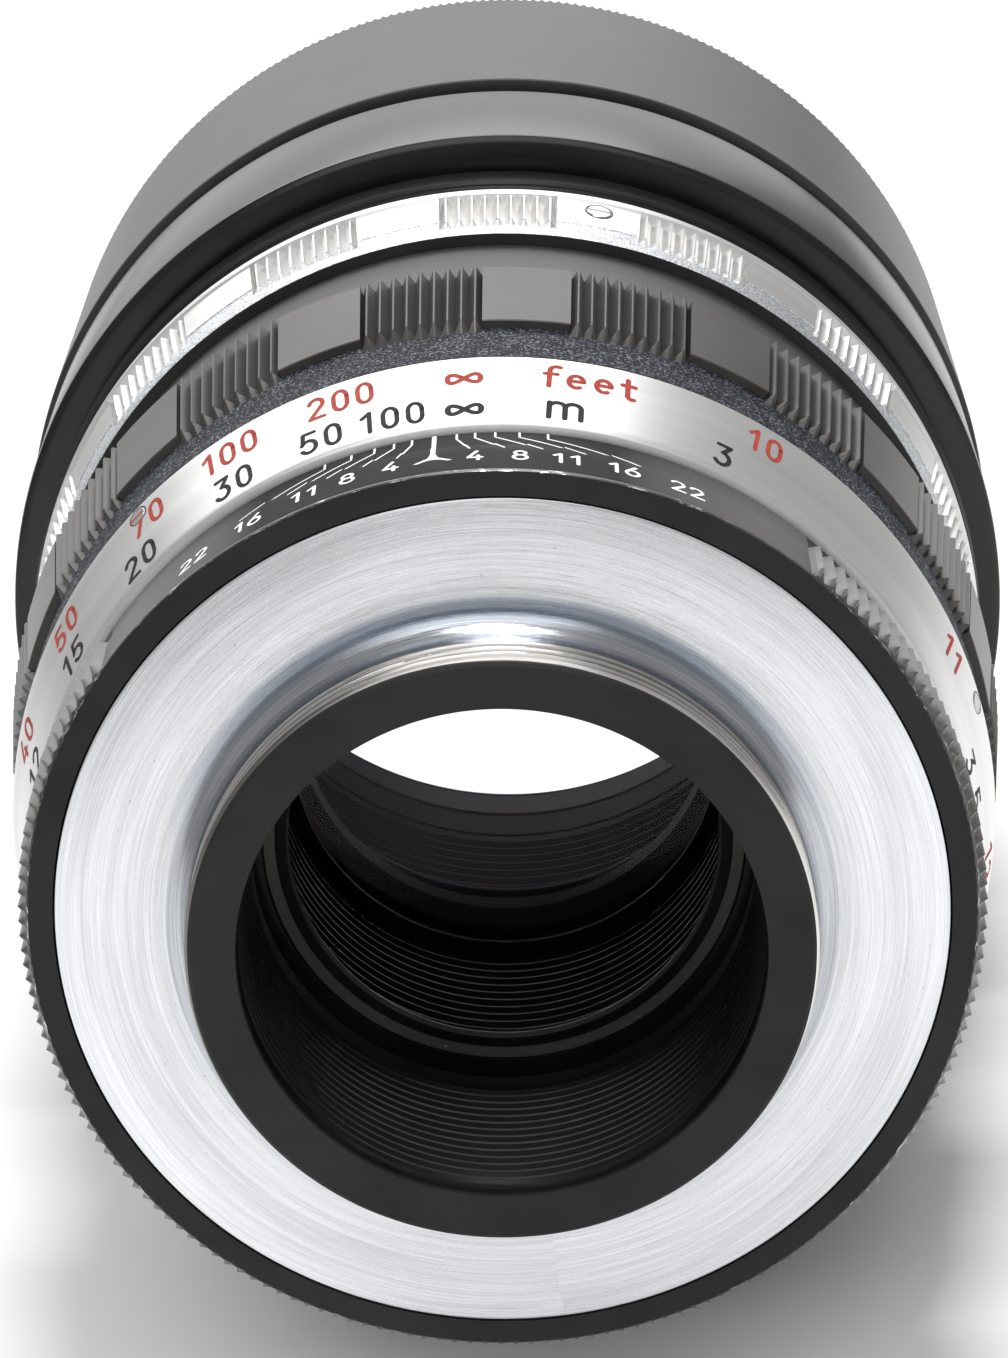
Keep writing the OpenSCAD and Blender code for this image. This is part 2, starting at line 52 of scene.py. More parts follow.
class Nodes:
    """A short way to wire one material's node tree."""

    def __init__(self, name):
        self.mat = bpy.data.materials.new(name)
        self.mat.use_nodes = True
        self.tree = self.mat.node_tree
        self.bsdf = self.tree.nodes["Principled BSDF"]
        self.place = None

    def add(self, kind, **values):
        node = self.tree.nodes.new(kind)
        for key, value in values.items():
            setattr(node, key, value)
        return node

    def link(self, a, b):
        self.tree.links.new(a, b)
        return b

    def set(self, **values):
        for key, value in values.items():
            name = key.replace("_", " ")
            self.bsdf.inputs[name].default_value = value

    def position(self):
        """Object-space position in millimetres from the end of the stub."""
        if self.place is None:
            coord = self.add("ShaderNodeTexCoord")
            scale = self.add("ShaderNodeVectorMath", operation="SCALE")
            scale.inputs["Scale"].default_value = 1000.0
            self.link(coord.outputs["Object"], scale.inputs[0])
            self.place = scale.outputs[0]
        return self.place

    def cylinder_coords(self):
        """Vector of (arc length, radius, station) about the optical axis."""
        sep = self.add("ShaderNodeSeparateXYZ")
        self.link(self.position(), sep.inputs[0])
        angle = self.math("ARCTAN2", sep.outputs["X"], sep.outputs["Z"])
        x2 = self.math("MULTIPLY", sep.outputs["X"], sep.outputs["X"])
        z2 = self.math("MULTIPLY", sep.outputs["Z"], sep.outputs["Z"])
        radius = self.math("SQRT", self.math("ADD", x2, z2))
        comb = self.add("ShaderNodeCombineXYZ")
        self.link(angle, comb.inputs[0])
        self.link(radius, comb.inputs[1])
        self.link(sep.outputs["Y"], comb.inputs[2])
        return comb.outputs[0]

    def math(self, op, a, b=None, clamp=False):
        node = self.add("ShaderNodeMath", operation=op, use_clamp=clamp)
        for i, v in enumerate((a, b)):
            if v is None:
                continue
            if hasattr(v, "links"):
                self.link(v, node.inputs[i])
            else:
                node.inputs[i].default_value = v
        return node.outputs[0]

    def scaled(self, vector, factors):
        node = self.add("ShaderNodeVectorMath", operation="MULTIPLY")
        self.link(vector, node.inputs[0])
        node.inputs[1].default_value = factors
        return node.outputs[0]

    def noise(self, vector, scale, detail=4.0, rough=0.55, dist=0.0):
        node = self.add("ShaderNodeTexNoise")
        node.inputs["Scale"].default_value = scale
        node.inputs["Detail"].default_value = detail
        node.inputs["Roughness"].default_value = rough
        node.inputs["Distortion"].default_value = dist
        self.link(vector, node.inputs["Vector"])
        return node.outputs["Fac"]

    def ramp(self, fac, stops):
        node = self.add("ShaderNodeValToRGB")
        ramp = node.color_ramp
        while len(ramp.elements) < len(stops):
            ramp.elements.new(0.5)
        for element, (pos, col) in zip(ramp.elements, stops):
            element.position = pos
            element.color = (col, col, col, 1) if isinstance(col, float) else (*col, 1)
        self.link(fac, node.inputs[0])
        return node.outputs[0]

    def mix(self, fac, a, b, blend="MIX"):
        node = self.add("ShaderNodeMix", data_type="RGBA", blend_type=blend)
        for sock, v in ((node.inputs[0], fac), (node.inputs[6], a), (node.inputs[7], b)):
            if hasattr(v, "links"):
                self.link(v, sock)
            elif isinstance(v, (int, float)):
                sock.default_value = v
            else:
                sock.default_value = (*v, 1)
        return node.outputs[2]

    def bump(self, height, strength, distance):
        node = self.add("ShaderNodeBump")
        node.inputs["Strength"].default_value = strength
        node.inputs["Distance"].default_value = distance
        self.link(height, node.inputs["Height"])
        self.link(node.outputs[0], self.bsdf.inputs["Normal"])
        return node

    def to_color(self, value):
        self.link(value, self.bsdf.inputs["Base Color"])

    def to_rough(self, value):
        self.link(value, self.bsdf.inputs["Roughness"])


def turned_metal(name, color, rough, grain=0.35, streak=0.05, metallic=1.0, pits=False,
                 painted_reflection_radii=None, thread=False, aniso=0.6):
    """Metal left from the lathe: fine rings round the axis, broken into arcs.

    The pair of radii after pits marks a band where the metal is painted darker and bluer,
    most towards the top: a painted dark reflection. thread paints shade into the roots of a
    one-millimetre screw thread.
    """
    n = Nodes(name)
    n.set(Metallic=metallic)
    cyl = n.cylinder_coords()
    rings = n.noise(n.scaled(cyl, (1.1, 5.0, 5.0)), 1.0, 4.0, 0.75)
    fine = n.noise(n.scaled(cyl, (2.6, 13.0, 13.0)), 1.0, 3.0, 0.75)
    broad = n.noise(n.scaled(cyl, (1.2, 0.5, 0.4)), 1.0, 3.0, 0.5)
    lines = n.math("ADD", n.math("MULTIPLY", rings, 0.45), n.math("MULTIPLY", fine, 0.55))
    dark = tuple(c * (1 - streak * 2) for c in color)
    col = n.mix(n.ramp(lines, [(0.4, 0.0), (0.6, 1.0)]), dark, color)
    cloud = n.ramp(broad, [(0.3, 0.86), (0.7, 1.0)])
    col = n.mix(1.0, col, cloud, "MULTIPLY")
    if pits:
        specks = n.noise(n.scaled(n.position(), (1, 1, 1)), 2.6, 6.0, 0.75)
        band = n.noise(n.scaled(cyl, (0.9, 0.25, 0.3)), 1.0, 2.0, 0.5)
        mask = n.math("MULTIPLY", n.ramp(specks, [(0.665, 0.0), (0.69, 1.0)]),
                      n.ramp(band, [(0.45, 0.0), (0.6, 1.0)]))
        col = n.mix(mask, col, (0.05, 0.05, 0.055))
    sep = n.add("ShaderNodeSeparateXYZ")
    n.link(cyl, sep.inputs[0])
    # Painted dark reflection: a darker, bluer ring between two radii, strongest at the top of the turn.
    if painted_reflection_radii:
        inner, outer = painted_reflection_radii
        span = n.math("MULTIPLY", n.math("SUBTRACT", sep.outputs["Y"], inner), 1 / (outer - inner))
        painted_reflection_ring = n.ramp(span, [(0.0, 0.0), (0.4, 1.0), (0.62, 1.0), (1.0, 0.0)])
        top = n.ramp(n.math("COSINE", n.math("SUBTRACT", sep.outputs["X"], 0.12)),
                     [(0.25, 0.15), (0.85, 0.8)])
        col = n.mix(n.math("MULTIPLY", painted_reflection_ring, top), col, (0.2, 0.24, 0.31))
    # Painted shade in the roots of the screw thread.
    if thread:
        turn = n.math("FRACT", n.math("SUBTRACT", n.math("ADD", sep.outputs["Z"], ORIGIN),
                                      n.math("MULTIPLY", sep.outputs["X"], 1 / TAU)))
        root = n.math("ABSOLUTE", n.math("SUBTRACT", n.math("MULTIPLY", turn, 2.0), 1.0))
        col = n.mix(n.ramp(root, [(0.22, 0.0), (0.55, 0.85)]), col, (0.12, 0.11, 0.1))
    n.to_color(col)
    n.to_rough(n.math("ADD", n.math("MULTIPLY", lines, 0.16), rough - 0.08))
    n.set(Anisotropic=aniso, Anisotropic_Rotation=0.25)
    around = n.add("ShaderNodeTangent", direction_type="RADIAL", axis="Y")
    n.link(around.outputs[0], n.bsdf.inputs["Tangent"])
    n.bump(lines, grain, 0.00004)
    return n.mat


def anodised(name, color, rough, wear=0.0, grain=0.12, specular=0.5):
    """Satin black anodised metal, finely textured; wear bares that share of it to the metal."""
    n = Nodes(name)
    n.set(Metallic=0.0, Specular_IOR_Level=specular, Specular_Tint=(1.0, 0.975, 0.94, 1))
    pos = n.position()
    fine = n.noise(pos, 9.0, 3.0, 0.6)
    cloud = n.noise(pos, 0.12, 4.0, 0.55)
    cyl = n.cylinder_coords()
    lines = n.noise(n.scaled(cyl, (0.8, 12.0, 12.0)), 1.0, 4.0, 0.6)
    light = tuple(min(1.0, c * 1.35 + 0.004) for c in color)
    col = n.mix(n.ramp(cloud, [(0.35, 0.0), (0.7, 1.0)]), color, light)
    scuff = n.noise(n.scaled(pos, (1, 1, 1)), 1.7, 8.0, 0.8, 1.5)
    scuff = n.ramp(scuff, [(0.64, 0.0), (0.72, 1.0)])
    col = n.mix(n.math("MULTIPLY", scuff, 0.18), col, (0.22, 0.22, 0.22))
    if wear > 0:
        chips = n.noise(n.scaled(cyl, (14.0, 2.0, 2.0)), 1.0, 6.0, 0.8)
        mask = n.ramp(chips, [(0.66 - wear * 0.2, 0.0), (0.7 - wear * 0.2, 1.0)])
        col = n.mix(mask, col, (0.6, 0.59, 0.57))
        n.link(n.math("MULTIPLY", mask, 0.9), n.bsdf.inputs["Metallic"])
    n.to_color(col)
    height = n.math("ADD", n.math("MULTIPLY", fine, 0.6), n.math("MULTIPLY", lines, 0.4))
    n.to_rough(n.math("ADD", n.math("MULTIPLY", height, 0.18), rough - 0.09))
    n.bump(height, grain, 0.00005)
    return n.mat


def cast_grain(name, color, dark, rough, metallic, grain=0.5, scale=7.0, specular=0.5):
    """The sparkly, coarse skin of a chamfer left unturned."""
    n = Nodes(name)
    pos = n.position()
    a = n.noise(pos, scale, 2.0, 0.6)
    b = n.noise(pos, scale * 0.35, 3.0, 0.6)
    mask = n.ramp(a, [(0.42, 0.0), (0.6, 1.0)])
    col = n.mix(mask, dark, color)
    col = n.mix(1.0, col, n.ramp(b, [(0.3, 0.75), (0.7, 1.0)]), "MULTIPLY")
    n.set(Metallic=metallic, Specular_IOR_Level=specular)
    n.to_color(col)
    n.to_rough(n.math("ADD", n.math("MULTIPLY", a, 0.25), rough - 0.1))
    n.bump(a, grain, 0.00012)
    return n.mat


def sparkle(name, dark, light):
    """A coarse blasted skin: near black, with scattered smoother grains painted lighter and bluish as
    glints.
    """
    n = Nodes(name)
    pos = n.position()
    grains = n.noise(pos, 4.5, 2.0, 0.7)
    patch = n.noise(pos, 0.5, 3.0, 0.6)
    mask = n.ramp(n.math("ADD", grains, n.math("MULTIPLY", patch, 0.15)),
                  [(0.62, 0.0), (0.7, 1.0)])
    # The grains' lighter, bluish colour is a painted glint; their lower roughness and bumps are real.
    n.to_color(n.mix(mask, dark, light))
    n.set(Specular_IOR_Level=0.12)
    n.to_rough(n.math("SUBTRACT", 0.6, n.math("MULTIPLY", mask, 0.3)))
    n.bump(grains, 0.6, 0.0001)
    return n.mat


def depth_band():
    """The plain part of the depth ring: painted near-black by the index at the top and painted lighter
    and shinier towards its knurled sides, as painted shade and light.
    """
    n = Nodes("depth_band")
    sep = n.add("ShaderNodeSeparateXYZ")
    n.link(n.cylinder_coords(), sep.inputs[0])
    # Painted shade and light: near-black and dull by the index at the top, greyer and shinier towards
    # the sides.
    away = n.ramp(n.math("ABSOLUTE", sep.outputs["X"]), [(0.38, 0.0), (0.72, 1.0)])
    grit = n.noise(n.position(), 6.0, 3.0, 0.6)
    near = n.mix(grit, (0.006, 0.006, 0.006), (0.018, 0.018, 0.018))
    far = n.mix(grit, (0.06, 0.058, 0.054), (0.1, 0.096, 0.09))
    n.to_color(n.mix(away, near, far))
    n.link(n.math("ADD", n.math("MULTIPLY", away, 0.34), 0.03), n.bsdf.inputs["Specular IOR Level"])
    n.to_rough(n.math("ADD", n.math("MULTIPLY", grit, 0.15), 0.34))
    n.bump(grit, 0.1, 0.00005)
    return n.mat


def ink(name, color):
    """Enamel wiped into an engraved mark, slightly uneven."""
    n = Nodes(name)
    pos = n.position()
    a = n.noise(pos, 2.2, 5.0, 0.65)
    light = tuple(min(1.0, c * 1.25 + 0.02) for c in color)
    n.to_color(n.mix(n.ramp(a, [(0.35, 0.0), (0.7, 1.0)]), color, light))
    n.to_rough(n.math("ADD", n.math("MULTIPLY", a, 0.2), 0.45))
    n.set(Specular_IOR_Level=0.12)
    n.bump(a, 0.2, 0.00003)
    return n.mat


def glass(name, tint, ior=1.62):
    """Coated optical glass, with a trace of dust."""
    n = Nodes(name)
    n.set(Transmission_Weight=1.0, IOR=ior, Metallic=0.0, Specular_Tint=(0.1, 0.088, 0.105, 1))
    dust = n.noise(n.position(), 1.1, 6.0, 0.7)
    n.to_rough(n.ramp(dust, [(0.62, 0.0), (0.98, 0.01)]))
    cloud = n.noise(n.position(), 0.05, 2.0, 0.5)
    pale = tuple(min(1.0, c * 1.02) for c in tint)
    n.to_color(n.mix(cloud, tint, pale))
    return n.mat


# The turned aluminium carries a painted dark reflection ring round the fillet.
ALU = turned_metal("turned_aluminium", (0.89, 0.905, 0.93), 0.27, 0.7, 0.14, pits=True,
                   painted_reflection_radii=(22.0, 23.6))
# The thread metal has painted shade in the roots of its thread.
THREAD = turned_metal("thread_aluminium", (0.84, 0.82, 0.79), 0.2, 0.4, 0.2, thread=True,
                      aniso=0.0)
# The fillet metal is a darker copy of the aluminium, painted shade, and also carries the painted dark
# reflection ring.
FOOT_CURVE = turned_metal("burnished_foot_painted_darker", (0.66, 0.68, 0.71), 0.16, 0.5, 0.2,
                          painted_reflection_radii=(21.5, 23.4), aniso=0.0)
SILVER = turned_metal("satin_silver", (0.86, 0.855, 0.84), 0.42, 0.15, 0.025)
SILVER_GRAIN = cast_grain("silver_grain", (0.93, 0.94, 0.95), (0.5, 0.53, 0.57), 0.34, 1.0, 0.7)
BLACK = anodised("satin_black", (0.018, 0.018, 0.018), 0.37, specular=0.42)
BLACK_GLOSS = anodised("gloss_black", (0.004, 0.004, 0.0045), 0.22, grain=0.05, specular=0.4)
BLACK_EDGE = anodised("worn_edge", (0.03, 0.03, 0.031), 0.34, wear=0.52)
BLACK_FACE = anodised("matt_face", (0.014, 0.014, 0.015), 0.5, specular=0.2)
BLACK_DEEP = anodised("baffle_black", (0.0028, 0.0028, 0.003), 0.34, grain=0.05, specular=0.26)
BLACK_VOID = anodised("inner_black", (0.0022, 0.0018, 0.0017), 0.6, grain=0.03, specular=0.04)
BLACK_BORE = anodised("bore_black", (0.0032, 0.0026, 0.0024), 0.42, grain=0.04, specular=0.12)
KNURL = anodised("knurl_satin", (0.05, 0.049, 0.047), 0.3, wear=0.05, specular=0.7)
BAND = depth_band()
# The lighter colour here is the painted glint of the grains.
BLACK_GRAIN = sparkle("black_grain", (0.006, 0.007, 0.01), (0.15, 0.165, 0.21))
PAD_GREY = anodised("grip_pad", (0.036, 0.034, 0.031), 0.33, specular=0.31)
STEEL = turned_metal("screw_steel", (0.62, 0.6, 0.57), 0.28, 0.2, 0.1)
BRASS = turned_metal("turned_brass", (0.78, 0.58, 0.26), 0.32, 0.3, 0.06)
BLADE = anodised("blade_blue_steel", (0.03, 0.032, 0.04), 0.32, specular=0.6)
INK_BLACK = ink("ink_black", (0.012, 0.012, 0.013))
INK_RED = ink("ink_red", (0.33, 0.04, 0.026))
INK_WHITE = ink("ink_white", (0.8, 0.8, 0.78))
GLASS = glass("coated_glass", (0.997, 0.998, 1.0))
GLASS_EDGE = anodised("glass_edge_black", (0.002, 0.002, 0.002), 0.7, specular=0.05)


# ---------------------------------------------------------------- shape helpers

def place(theta, r, z):
    """Row-frame point at clock angle theta (radians), radius r and station z, in mm."""
    return (r * np.sin(theta) * MM, (z - ORIGIN) * MM + 0 * r, r * np.cos(theta) * MM)


def turned(name, profile, mats, body, replaces=(), seg=360, shape=None,
           bands=None, thetas=None, sharp=32.0, pick=None):
    """Turns a closed outline of (radius, station) points about the axis.

    shape(theta, r, z) may change the radius round the turn; bands gives the material
    index of each outline edge, and pick(theta, band) may change it round the turn.
    """
    theta = np.linspace(0, TAU, seg, endpoint=False) if thetas is None else np.asarray(thetas)
    count = len(theta)
    verts = []
    for r, z in profile:
        rr = np.full(count, float(r)) if shape is None else shape(theta, r, z)
        x, y, zz = place(theta, rr, np.full(count, float(z)))
        verts.extend(zip(x, y, zz))
    faces, index = [], []
    rows = len(profile)
    for i in range(rows):
        j = (i + 1) % rows
        for k in range(count):
            m = (k + 1) % count
            faces.append((i * count + k, i * count + m, j * count + m, j * count + k))
            band = bands[i] if bands else 0
            index.append(pick(theta[k], band) if pick else band)
    mesh = bpy.data.meshes.new(name)
    mesh.from_pydata(verts, [], faces)
    for mat in mats:
        mesh.materials.append(mat)
    mesh.polygons.foreach_set("material_index", index)
    bm = bmesh.new()
    bm.from_mesh(mesh)
    bmesh.ops.recalc_face_normals(bm, faces=bm.faces)
    bm.to_mesh(mesh)
    bm.free()
    mesh.shade_smooth()
    mesh.set_sharp_from_angle(angle=math.radians(sharp))
    obj = bpy.data.objects.new(name, mesh)
    bpy.context.scene.collection.objects.link(obj)
    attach(obj, body)
    if replaces:
        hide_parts(*replaces)
    return obj


def grooves(r, depth, pitch, z0, z1, flat=0.15):
    """Outline points of a bore with V grooves, from z0 to z1, with flat crests."""
    points = []
    step = pitch if z1 > z0 else -pitch
    for i in range(int(abs(z1 - z0) / pitch)):
        z = z0 + i * step
        points += [(r, z), (r, z + step * flat), (r + depth, z + step * (0.5 + flat / 2))]
    points.append((r, z0 + int(abs(z1 - z0) / pitch) * step))
    return points


# ---------------------------------------------------------------- fixed base

def thread_shape(crest, depth, z0, z1, pitch=1.0):
    """Radius of a helical 60 degree thread between two stations."""
    def shape(theta, r, z):
        if not (z0 <= z <= z1) or r < crest - 0.01:
            return np.full(len(theta), float(r))
        turn = (z / pitch - theta / TAU) % 1.0
        height = np.clip(np.abs(2 * turn - 1) * 1.5 - 0.3, 0, 1)
        fade = min(1.0, (z - z0) / 0.3, (z1 - z) / 0.5)
        return r - depth * height * max(0.0, fade)
    return shape


def fillet(r0, z0, radius, steps=10):
    return [(r0 + radius * (1 - math.cos(a)), z0 + radius * math.sin(a))
            for a in np.linspace(0, math.pi / 2, steps + 1)]


def mount_flange():
    stations = list(np.arange(0.75, 3.66, 0.08))
    crest = 21.0
    outer = [(20.3, 0.5), (20.75, 0.6)] + [(crest, z) for z in stations]
    curve = fillet(21.0, 3.7, 1.9)
    face = [(25.0, 5.6), (29.95, 5.6), (30.1, 5.72), (30.1, 8.5)]
    inner = [(19.2, 8.5), (19.2, 0.5)]
    profile = outer + curve + face + inner
    face = [(25.0, 5.6), (29.85, 5.6), (30.05, 5.68), (30.1, 5.8), (30.1, 8.5)]
    profile = outer + curve + face + inner
    bands = [1] * len(outer) + [2] * (len(curve) - 2)
    bands += [0] * (len(profile) - len(bands))
    turned("mount_flange_turned", profile, [ALU, THREAD, FOOT_CURVE], "base", ["mount_flange"],
           seg=480, shape=thread_shape(crest, 0.5, 0.75, 3.66), bands=bands)


def rear_baffle():
    bore = 17.5
    wall = 19.1
    profile = [(17.6, 0.0), (20.55, 0.0), (20.78, 0.16), (20.8, 0.46), (wall, 0.47), (wall, 18.7),
               (18.0, 18.7), (17.9, 18.45), (17.62, 18.4), (17.6, 18.1), (bore, 16.6)]
    profile += grooves(bore, 0.3, 1.05, 16.3, 0.9, 0.3)
    profile += [(bore + 0.04, 0.3)]
    bands = [0] * 4 + [1] * (len(profile) - 5) + [0]
    turned("rear_baffle_turned", profile, [BLACK_FACE, BLACK_DEEP], "base",
           ["rear_baffle_tube"], bands=bands, seg=300)


def knurl_thetas(teeth):
    return np.concatenate([(i + np.array([0.0, 0.25, 0.5, 0.75])) * TAU / teeth
                           for i in range(teeth)])


def depth_ring():
    teeth = 190
    half = math.radians(47.5)
    tip = 0.66
    band_front = 11.2

    def shape(theta, r, z):
        wrapped = (theta + math.pi) % TAU - math.pi
        turn = (theta * teeth / TAU) % 1.0
        saw = 1 - np.abs(2 * turn - 1)
        knurled = np.abs(wrapped) > half
        if r < 31.9 or not (5.6 < z <= band_front + 0.01):
            return np.full(len(theta), float(r))
        lift = min(1.0, (z - 5.75) / 0.9)
        return r + np.where(knurled, saw * tip * lift, 0.0)

    profile = [(30.2, 5.62), (31.7, 5.62), (31.9, 5.66), (31.98, 5.76), (32.0, 5.95), (32.0, 6.65),
               (32.0, 8.0), (32.0, 9.6), (32.0, 11.0), (31.95, 11.15), (31.85, 11.2),
               (31.85, 14.1), (31.75, 14.2), (30.2, 14.2)]
    bands = [0, 0, 3, 3, 1, 1, 1, 1, 1, 1, 2, 2, 0, 0]

    def pick(theta, band):
        wrapped = (theta + math.pi) % TAU - math.pi
        return 4 if band in (1, 2) and abs(wrapped) < half else band

    turned("depth_ring_knurled", profile, [BLACK_FACE, KNURL, BLACK_FACE, BLACK_EDGE, BAND],
           "base", ["depth_scale_ring"], shape=shape, bands=bands, pick=pick,
           thetas=knurl_thetas(teeth), sharp=20)


# ---------------------------------------------------------------- engraved figures

def arc(cx, cy, rx, ry, a0, a1, steps=14):
    return [(cx + rx * math.cos(math.radians(a)), cy + ry * math.sin(math.radians(a)))
            for a in np.linspace(a0, a1, steps + 1)]


def glyphs():
    """Single-stroke figures on a 0.6 by 1 cell."""
    zero = arc(0.3, 0.66, 0.22, 0.34, 0, 180) + arc(0.3, 0.34, 0.22, 0.34, 180, 360)
    zero.append(zero[0])
    loop = arc(0.3, 0.27, 0.24, 0.27, 0, 360, 22)
    small_e = [(0.06, 0.37), (0.5, 0.37)] + arc(0.28, 0.35, 0.22, 0.3, 5, 300, 20)
    bowl = arc(0.27, 0.31, 0.25, 0.31, 150, -150, 18)
    return {
        "0": [zero],
        "1": [[(0.1, 0.78), (0.34, 1.0), (0.34, 0.0)]],
        "2": [arc(0.29, 0.74, 0.23, 0.26, 165, -25, 12) + [(0.06, 0.0), (0.54, 0.0)]],
        "3": [[(0.08, 1.0), (0.5, 1.0), (0.27, 0.62)] + arc(0.26, 0.31, 0.25, 0.31, 90, -150, 16)],
        "4": [[(0.36, 1.0), (0.04, 0.28), (0.56, 0.28)], [(0.42, 0.5), (0.42, 0.0)]],
        "5": [[(0.5, 1.0), (0.12, 1.0), (0.09, 0.56)] + bowl],
        "6": [[(0.42, 1.0), (0.1, 0.46)], arc(0.3, 0.3, 0.24, 0.3, 0, 360, 24)],
        "7": [[(0.05, 1.0), (0.54, 1.0), (0.2, 0.0)]],
        "8": [arc(0.3, 0.76, 0.2, 0.24, 0, 360, 20), arc(0.3, 0.27, 0.25, 0.27, 0, 360, 22)],
        "9": [[(0.18, 0.0), (0.5, 0.54)], arc(0.3, 0.7, 0.24, 0.3, 0, 360, 24)],
        ".": [[(0.12, 0.02), (0.121, 0.03)]],
        "f": [arc(0.36, 0.8, 0.2, 0.2, 60, 180, 8) + [(0.16, 0.0)], [(0.02, 0.62), (0.38, 0.62)]],
        "e": [small_e],
        "t": [[(0.18, 0.92), (0.18, 0.16)] + arc(0.32, 0.14, 0.14, 0.14, 180, 290, 6),
              [(0.02, 0.64), (0.4, 0.64)]],
        "m": [[(0.05, 0.0), (0.05, 0.66)],
              [(0.05, 0.5)] + arc(0.22, 0.48, 0.17, 0.18, 150, 0, 8) + [(0.39, 0.0)],
              [(0.39, 0.5)] + arc(0.56, 0.48, 0.17, 0.18, 150, 0, 8) + [(0.73, 0.0)]],
        "o": [loop],
        "inf": [[(0.44 + 0.41 * math.sin(t), 0.3 + 0.17 * math.sin(2 * t))
                 for t in np.linspace(0, TAU, 41)]],
    }


GLYPHS = glyphs()
WIDTHS = {"1": 0.5, "m": 0.95, "inf": 0.88, ".": 0.3, "f": 0.46, "t": 0.46}


class Engraver:
    """Collects flat strokes laid on a cone of the axis, then makes one mesh of them."""

    def __init__(self, radius_at, lift=0.012):
        self.radius_at = radius_at
        self.lift = lift
        self.clock = 0.0
        self.verts, self.faces = [], []

    def point(self, arc_mm, z):
        r = self.radius_at(z) + self.lift
        theta = math.radians(self.clock) + arc_mm / self.radius_at(z)
        return (r * math.sin(theta) * MM, (z - ORIGIN) * MM, r * math.cos(theta) * MM)

    def polygon(self, corners):
        base = len(self.verts)
        self.verts += [self.point(*c) for c in corners]
        self.faces.append(tuple(range(base, base + len(corners))))

    def disc(self, x, z, r):
        self.polygon([(x + r * math.cos(a), z + r * math.sin(a))
                      for a in np.linspace(0, TAU, 12, endpoint=False)])

    def stroke(self, path, width):
        half = width / 2
        for (x0, z0), (x1, z1) in zip(path, path[1:]):
            dx, dz = x1 - x0, z1 - z0
            length = math.hypot(dx, dz)
            if length < 1e-9:
                continue
            nx, nz = -dz / length * half, dx / length * half
            steps = max(1, int(length / 0.8))
            for i in range(steps):
                a, b = i / steps, (i + 1) / steps
                self.polygon([(x0 + dx * a + nx, z0 + dz * a + nz),
                              (x0 + dx * a - nx, z0 + dz * a - nz),
                              (x0 + dx * b - nx, z0 + dz * b - nz),
                              (x0 + dx * b + nx, z0 + dz * b + nz)])
        for x, z in path:
            self.disc(x, z, half)

    def text(self, chars, clock, z, height, width, spacing=0.2, stretch=1.0):
        """Writes figures centred at a clock angle, with their feet towards the camera."""
        self.clock = clock
        widths = [WIDTHS.get(c, 0.6) * height * stretch for c in chars]
        gap = spacing * height
        total = sum(widths) + gap * (len(chars) - 1)
        x = -total / 2
        for c, w in zip(chars, widths):
            for path in GLYPHS[c]:
                self.stroke([(x + px * height * stretch, z + (py - 0.5) * height)
                             for px, py in path], width)
            x += w + gap
        self.clock = 0.0

    def build(self, name, mat, body):
        mesh = bpy.data.meshes.new(name)
        mesh.from_pydata(self.verts, [], self.faces)
        mesh.materials.append(mat)
        obj = bpy.data.objects.new(name, mesh)
        bpy.context.scene.collection.objects.link(obj)
        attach(obj, body)
        return obj


def depth_figures():
    on_ring = Engraver(lambda z: 32.0 if z < 11.2 else 31.85)
    figures_z, height = 8.75, 1.75
    for stop, turn in ((4, 5.0), (8, 10.3), (11, 15.8), (16, 22.6), (22, 30.5)):
        for side in (-1, 1):
            clock = side * turn - (0.8 if side < 0 and stop > 11 else 0.0)
            on_ring.text(str(stop), clock, figures_z, height, 0.26, 0.16, 1.0)
    line_w = 0.15
    for near, far in ((2.7, 4.3), (4.9, 8.4), (7.3, 12.9), (10.2, 18.0), (13.6, 24.6)):
        for side in (-1, 1):
            a = side * math.radians(near) * 31.85
            b = side * math.radians(far) * 32
            on_ring.stroke([(a, 14.0), (a, 13.0)], line_w)
            on_ring.stroke([(a, 13.0), (a + (b - a) * 0.7, 11.3)], line_w)
            on_ring.stroke([(a + (b - a) * 0.7, 11.1), (b, 10.35)], line_w)
    on_ring.stroke([(0, 14.0), (0, 11.4)], 0.3)
    on_ring.stroke([(0, 11.05), (0, 9.6)], 0.34)
    on_ring.polygon([(-0.2, 9.7), (-0.35, 9.0), (-1.3, 8.2), (1.3, 8.2), (0.35, 9.0), (0.2, 9.7)])
    on_ring.build("depth_figures", INK_WHITE, "base")


def scale_radius(z):
    return 32.4 + (z - 14.6) / 7.6 * 2.3


REST_CLOCK = 3.7            # the infinity mark rests this far clockwise of the index


def distance_clock(metres):
    """Clock angle of a distance on the ring at rest, from the focusing thread's law."""
    return REST_CLOCK - 855.0 / (metres - 0.4)


FOOT = 0.3048
METRE_MARKS = ("100", "50", "30", "20", "15", "12", "10", "8", "7", "6", "5", "4.5", "4", "3.5", "3")
FEET_MARKS = ("200", "100", "70", "50", "40", "30", "25", "20", "17", "15", "13", "12", "11", "10")


def distance_figures():
    metres = Engraver(scale_radius)
    feet = Engraver(scale_radius)
    for mark in METRE_MARKS:
        metres.text(mark, distance_clock(float(mark)), 16.5, 2.15, 0.34)
    for mark in FEET_MARKS:
        shift = 1.2 if mark == "10" else 0.3
        feet.text(mark, distance_clock(float(mark) * FOOT) - shift, 20.05, 2.15, 0.34)
    metres.text(["inf"], REST_CLOCK, 16.75, 2.75, 0.42)
    feet.text(["inf"], REST_CLOCK, 20.3, 2.75, 0.4)
    metres.text("m", 15.9, 16.7, 2.6, 0.4, stretch=1.22)
    feet.text("feet", 18.2, 20.1, 2.3, 0.38, 0.22)
    metres.build("metre_figures", INK_BLACK, "focus_ring")
    feet.build("feet_figures", INK_RED, "focus_ring")


